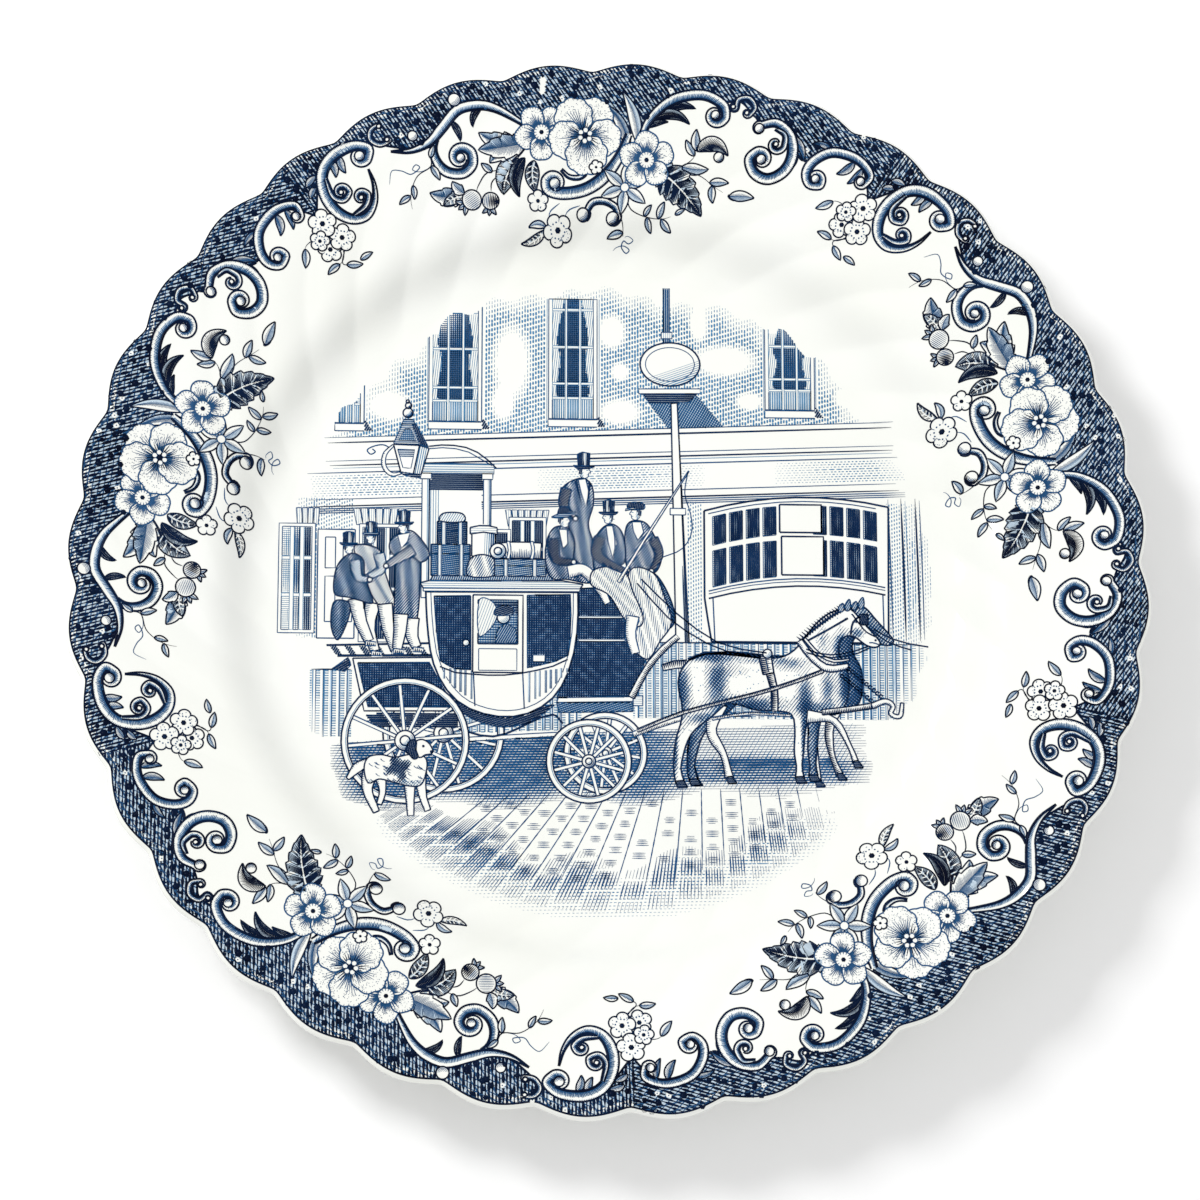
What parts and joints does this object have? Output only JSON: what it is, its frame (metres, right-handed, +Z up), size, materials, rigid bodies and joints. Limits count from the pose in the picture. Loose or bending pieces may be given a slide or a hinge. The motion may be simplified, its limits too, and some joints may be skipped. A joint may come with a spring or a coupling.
{
  "type": "dinner plate",
  "caption": "Round china dinner plate with a flat well, a swirl-fluted rim with a scalloped edge, a foot ring and blue transfer-printed decoration.",
  "frame": {"origin": "centre of the foot ring, on the surface the plate stands on", "axes": "+Z up along the plate's axis, out of the well; +Y towards the top of the centre picture; +X to the picture's right"},
  "size_m": [0.2536, 0.2536, 0.0238],
  "materials": {
    "biscuit": "matte fired earthenware, bare only on the foot ring's bearing edge",
    "glaze": "clear glossy glaze over a warm cream body",
    "ink": "glossy dark blue transfer print"
  },
  "bodies": {
    "root": {"biscuit_body": "biscuit", "glaze_coat": "glaze", "glaze_foot_well": "glaze", "centre_print": "ink", "border_print_1": "ink", "border_print_2": "ink", "border_print_3": "ink", "border_print_4": "ink", "border_print_5": "ink"}
  },
  "joints": []
}
